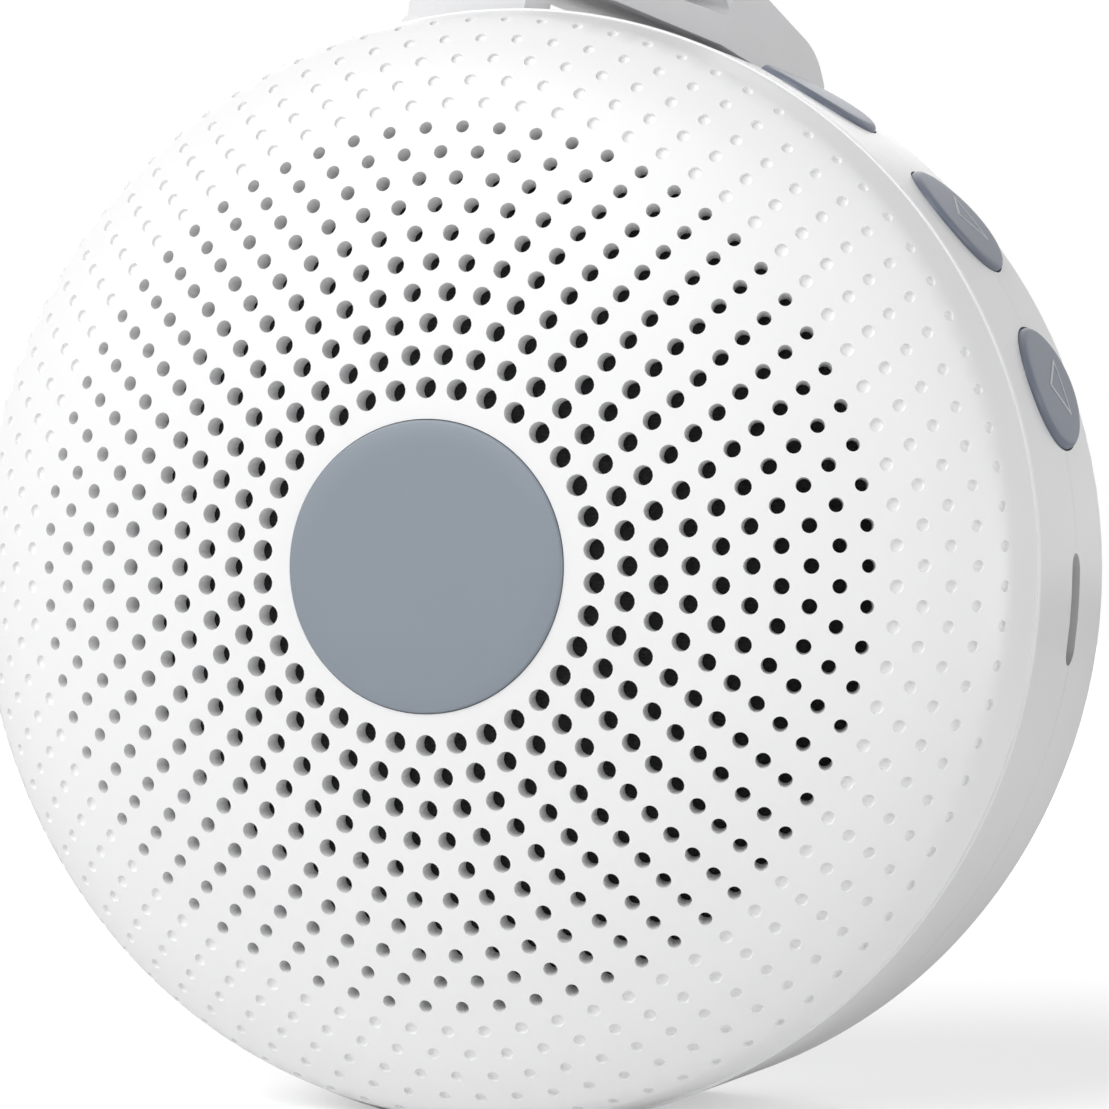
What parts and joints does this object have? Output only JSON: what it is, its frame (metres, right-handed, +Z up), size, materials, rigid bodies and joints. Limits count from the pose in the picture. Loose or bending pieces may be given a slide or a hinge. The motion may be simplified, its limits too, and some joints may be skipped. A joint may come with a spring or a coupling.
{
  "type": "white noise sound machine",
  "caption": "Round portable sound machine with a perforated domed front, side keys, a charging port and a soft hanging strap.",
  "frame": {"origin": "middle of the flat on the band that the machine stands on", "axes": "-Y is the perforated front, +Z is up, +X is the side with the keys and the port"},
  "size_m": [0.1, 0.0606, 0.1389],
  "materials": {
    "white_shell": "satin moulded",
    "grey_shell": "satin moulded",
    "blue_grey": "satin moulded",
    "black_cloth": "woven",
    "black_plastic": "matte",
    "green_board": "solder mask",
    "steel": "plain",
    "black_rubber": "matte",
    "paper_cone": "pressed",
    "copper_coil": "enamelled wire",
    "magnet": "sintered",
    "battery_wrap": "shrink wrap",
    "foam": "foam",
    "silicone": "matte silicone"
  },
  "bodies": {
    "housing": {"grille_cover": "white_shell", "emblem_disc": "blue_grey", "dust_cloth": "black_cloth", "front_housing": "grey_shell", "rear_housing": "grey_shell", "key_switches": "black_plastic", "main_board": "green_board", "board_chips": "black_plastic", "charging_port": "steel", "charging_tongue": "black_plastic", "speaker_frame": "black_plastic", "speaker_surround": "black_rubber", "speaker_cone": "paper_cone", "dust_cap": "paper_cone", "voice_coil": "copper_coil", "speaker_magnet": "magnet", "speaker_pole": "steel", "speaker_screws": "steel", "battery_cell": "battery_wrap", "battery_pad": "foam", "housing_screws": "steel", "board_screws": "steel", "strap_pin": "steel"},
    "lower_button": {"lower_button": "blue_grey"},
    "middle_button": {"middle_button": "blue_grey"},
    "upper_button": {"upper_button": "blue_grey"},
    "strap": {"hanging_strap": "silicone"}
  },
  "joints": [
    {"name": "lower_button_press", "type": "slide", "parent": "housing", "child": "lower_button", "axis": [-0.9478, 0, -0.319], "range_m": [0, 0.0006], "stiffness_N_per_m": 1500, "springref_m": -0.0002},
    {"name": "middle_button_press", "type": "slide", "parent": "housing", "child": "middle_button", "axis": [-0.7826, 0, -0.6225], "range_m": [0, 0.0006], "stiffness_N_per_m": 1500, "springref_m": -0.0002},
    {"name": "upper_button_press", "type": "slide", "parent": "housing", "child": "upper_button", "axis": [-0.524, 0, -0.8517], "range_m": [0, 0.0006], "stiffness_N_per_m": 1500, "springref_m": -0.0002},
    {"name": "strap_swing", "type": "hinge", "parent": "housing", "child": "strap", "pos_m": [-0.0051, -0.00402, 0.09649], "axis": [0.8567, -0.4555, -0.2419], "range_deg": [0, 20]}
  ]
}
